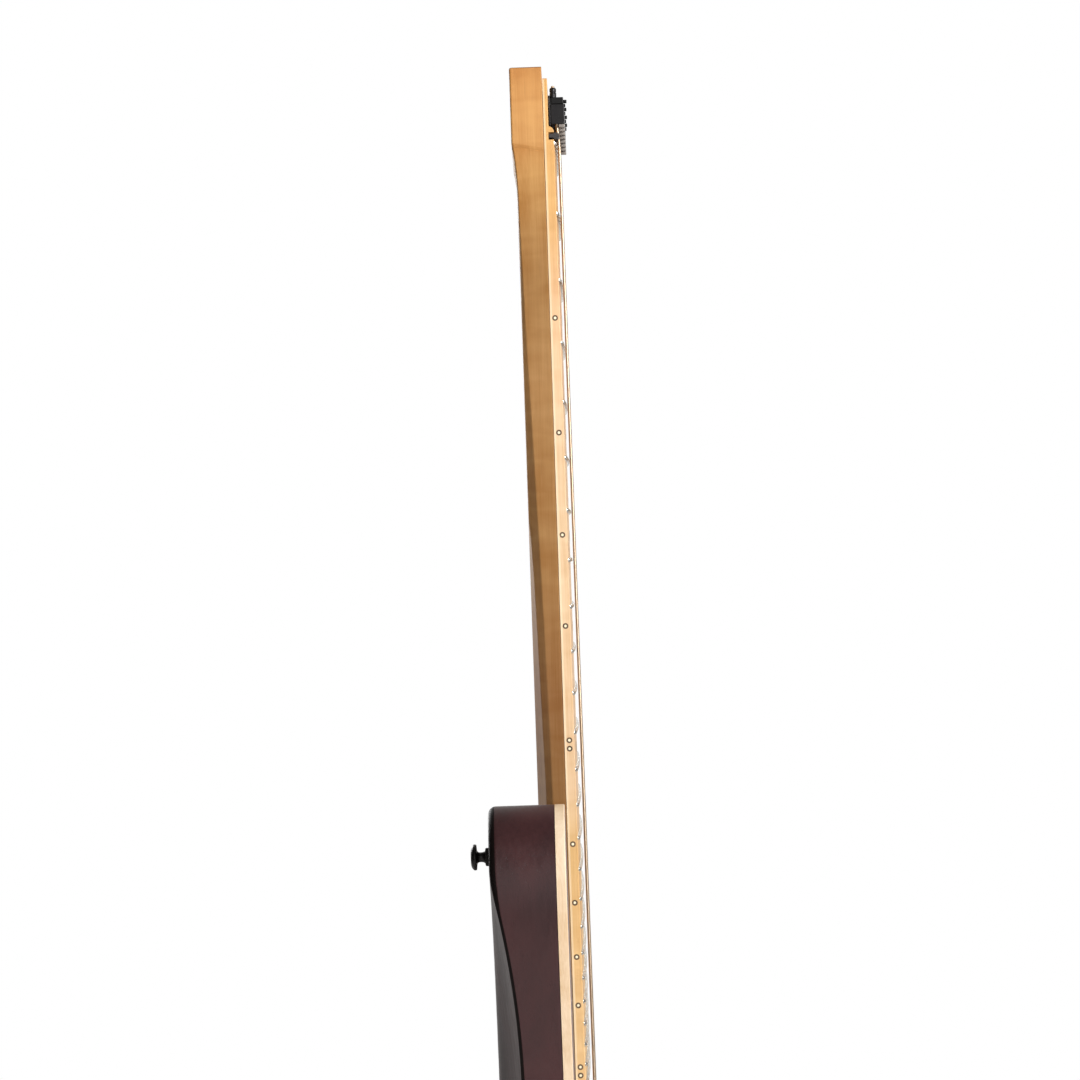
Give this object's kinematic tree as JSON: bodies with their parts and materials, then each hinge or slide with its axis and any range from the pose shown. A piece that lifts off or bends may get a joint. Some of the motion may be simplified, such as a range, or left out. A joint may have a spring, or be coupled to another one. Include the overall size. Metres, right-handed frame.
{
  "type": "electric guitar",
  "caption": "Headless solid-body electric guitar with fanned frets, a faceted bolt-on neck, string locks at the head and thumb-wheel tuners at the bridge.",
  "frame": {"origin": "centre of the bounding box of the guitar standing upright with its strap buttons fitted", "axes": "+Z along the neck towards the headstock, +X out of the front where the strings are, -Y towards the lowest string (a right-handed guitar)"},
  "size_m": [0.0716, 0.3162, 0.845],
  "materials": {
    "body_stain": "dark burgundy stain under a satin coat, fine grain showing, on the back and sides",
    "top_stain": "burgundy stained figured maple face under a satin coat, with its edge left natural",
    "neck_maple": "oiled roasted maple, satin",
    "board_maple": "pale maple fingerboard, satin",
    "black_metal": "black anodised hardware, satin",
    "grey_metal": "dark grey metal, brushed",
    "fret_metal": "polished nickel-steel fret wire",
    "steel": "plain steel",
    "black_plastic": "matt black plastic",
    "string_wire": "nickel-wound and plain steel wire"
  },
  "bodies": {
    "guitar": {"body_back": "body_stain", "body_top": "top_stain", "neck": "neck_maple", "fingerboard": "board_maple", "truss_rod": "steel", "nut_bar": "grey_metal", "zero_fret": "fret_metal", "bridge_plate": "black_metal", "neck_pickup": "black_plastic", "bridge_pickup": "black_plastic", "volume_pot": "steel", "tone_pot": "steel", "selector_switch": "black_metal", "output_jack": "black_metal", "control_cover": "black_plastic", "strap_button_upper": "black_metal", "strap_button_lower": "black_metal", "string_1": "string_wire", "string_lock_1": "black_metal", "string_2": "string_wire", "string_lock_2": "black_metal", "string_3": "string_wire", "string_lock_3": "black_metal", "string_4": "string_wire", "string_lock_4": "black_metal", "string_5": "string_wire", "string_lock_5": "black_metal", "string_6": "string_wire", "string_lock_6": "black_metal", "string_7": "string_wire", "string_lock_7": "black_metal", "string_8": "string_wire", "string_lock_8": "black_metal", "neck_bolt_1": "steel", "neck_bolt_2": "steel", "neck_bolt_3": "steel", "neck_bolt_4": "steel"},
    "tuner_knob_1": {"tuner_knob_1": "black_metal"},
    "tuner_carriage_1": {"tuner_carriage_1": "grey_metal"},
    "tuner_knob_2": {"tuner_knob_2": "black_metal"},
    "tuner_carriage_2": {"tuner_carriage_2": "grey_metal"},
    "tuner_knob_3": {"tuner_knob_3": "black_metal"},
    "tuner_carriage_3": {"tuner_carriage_3": "grey_metal"},
    "tuner_knob_4": {"tuner_knob_4": "black_metal"},
    "tuner_carriage_4": {"tuner_carriage_4": "grey_metal"},
    "tuner_knob_5": {"tuner_knob_5": "black_metal"},
    "tuner_carriage_5": {"tuner_carriage_5": "grey_metal"},
    "tuner_knob_6": {"tuner_knob_6": "black_metal"},
    "tuner_carriage_6": {"tuner_carriage_6": "grey_metal"},
    "tuner_knob_7": {"tuner_knob_7": "black_metal"},
    "tuner_carriage_7": {"tuner_carriage_7": "grey_metal"},
    "tuner_knob_8": {"tuner_knob_8": "black_metal"},
    "tuner_carriage_8": {"tuner_carriage_8": "grey_metal"},
    "volume_knob": {"volume_knob": "black_metal"},
    "tone_knob": {"tone_knob": "black_metal"},
    "selector_lever": {"selector_lever": "black_metal"},
    "truss_rod_wheel": {"truss_rod_wheel": "steel"}
  },
  "joints": [
    {"name": "tuner_1_turn", "type": "hinge", "parent": "guitar", "child": "tuner_knob_1", "pos_m": [0.02355, 0.03814, -0.30827], "axis": [0, 0, 1], "range_deg": [-1440, 1440]},
    {"name": "tuner_1_travel", "type": "slide", "parent": "guitar", "child": "tuner_carriage_1", "axis": [0, 0, 1], "range_m": [-0.004, 0.004]},
    {"name": "tuner_2_turn", "type": "hinge", "parent": "guitar", "child": "tuner_knob_2", "pos_m": [0.02355, 0.02789, -0.3119], "axis": [0, 0, 1], "range_deg": [-1440, 1440]},
    {"name": "tuner_2_travel", "type": "slide", "parent": "guitar", "child": "tuner_carriage_2", "axis": [0, 0, 1], "range_m": [-0.004, 0.004]},
    {"name": "tuner_3_turn", "type": "hinge", "parent": "guitar", "child": "tuner_knob_3", "pos_m": [0.02355, 0.01764, -0.31553], "axis": [0, 0, 1], "range_deg": [-1440, 1440]},
    {"name": "tuner_3_travel", "type": "slide", "parent": "guitar", "child": "tuner_carriage_3", "axis": [0, 0, 1], "range_m": [-0.004, 0.004]},
    {"name": "tuner_4_turn", "type": "hinge", "parent": "guitar", "child": "tuner_knob_4", "pos_m": [0.02355, 0.00739, -0.31916], "axis": [0, 0, 1], "range_deg": [-1440, 1440]},
    {"name": "tuner_4_travel", "type": "slide", "parent": "guitar", "child": "tuner_carriage_4", "axis": [0, 0, 1], "range_m": [-0.004, 0.004]},
    {"name": "tuner_5_turn", "type": "hinge", "parent": "guitar", "child": "tuner_knob_5", "pos_m": [0.02355, -0.00286, -0.3228], "axis": [0, 0, 1], "range_deg": [-1440, 1440]},
    {"name": "tuner_5_travel", "type": "slide", "parent": "guitar", "child": "tuner_carriage_5", "axis": [0, 0, 1], "range_m": [-0.004, 0.004]},
    {"name": "tuner_6_turn", "type": "hinge", "parent": "guitar", "child": "tuner_knob_6", "pos_m": [0.02355, -0.01311, -0.32643], "axis": [0, 0, 1], "range_deg": [-1440, 1440]},
    {"name": "tuner_6_travel", "type": "slide", "parent": "guitar", "child": "tuner_carriage_6", "axis": [0, 0, 1], "range_m": [-0.004, 0.004]},
    {"name": "tuner_7_turn", "type": "hinge", "parent": "guitar", "child": "tuner_knob_7", "pos_m": [0.02355, -0.02336, -0.33006], "axis": [0, 0, 1], "range_deg": [-1440, 1440]},
    {"name": "tuner_7_travel", "type": "slide", "parent": "guitar", "child": "tuner_carriage_7", "axis": [0, 0, 1], "range_m": [-0.004, 0.004]},
    {"name": "tuner_8_turn", "type": "hinge", "parent": "guitar", "child": "tuner_knob_8", "pos_m": [0.02355, -0.03361, -0.33369], "axis": [0, 0, 1], "range_deg": [-1440, 1440]},
    {"name": "tuner_8_travel", "type": "slide", "parent": "guitar", "child": "tuner_carriage_8", "axis": [0, 0, 1], "range_m": [-0.004, 0.004]},
    {"name": "volume_turn", "type": "hinge", "parent": "guitar", "child": "volume_knob", "pos_m": [0.01745, 0.09027, -0.28303], "axis": [1, 0, 0], "range_deg": [-135, 135]},
    {"name": "tone_turn", "type": "hinge", "parent": "guitar", "child": "tone_knob", "pos_m": [0.01745, 0.10827, -0.32703], "axis": [1, 0, 0], "range_deg": [-135, 135]},
    {"name": "selector_tilt", "type": "hinge", "parent": "guitar", "child": "selector_lever", "pos_m": [0.01745, 0.10227, -0.24302], "axis": [0, 1, 0], "range_deg": [-12, 12]},
    {"name": "truss_rod_turn", "type": "hinge", "parent": "guitar", "child": "truss_rod_wheel", "pos_m": [0.01515, 0.00227, -0.15902], "axis": [0, 0, 1], "range_deg": [-180, 180]}
  ],
  "couplings": [
    {"joint": "tuner_1_turn", "follows": "tuner_1_travel", "rad_per_m": -6283.2},
    {"joint": "tuner_2_turn", "follows": "tuner_2_travel", "rad_per_m": -6283.2},
    {"joint": "tuner_3_turn", "follows": "tuner_3_travel", "rad_per_m": -6283.2},
    {"joint": "tuner_4_turn", "follows": "tuner_4_travel", "rad_per_m": -6283.2},
    {"joint": "tuner_5_turn", "follows": "tuner_5_travel", "rad_per_m": -6283.2},
    {"joint": "tuner_6_turn", "follows": "tuner_6_travel", "rad_per_m": -6283.2},
    {"joint": "tuner_7_turn", "follows": "tuner_7_travel", "rad_per_m": -6283.2},
    {"joint": "tuner_8_turn", "follows": "tuner_8_travel", "rad_per_m": -6283.2}
  ]
}
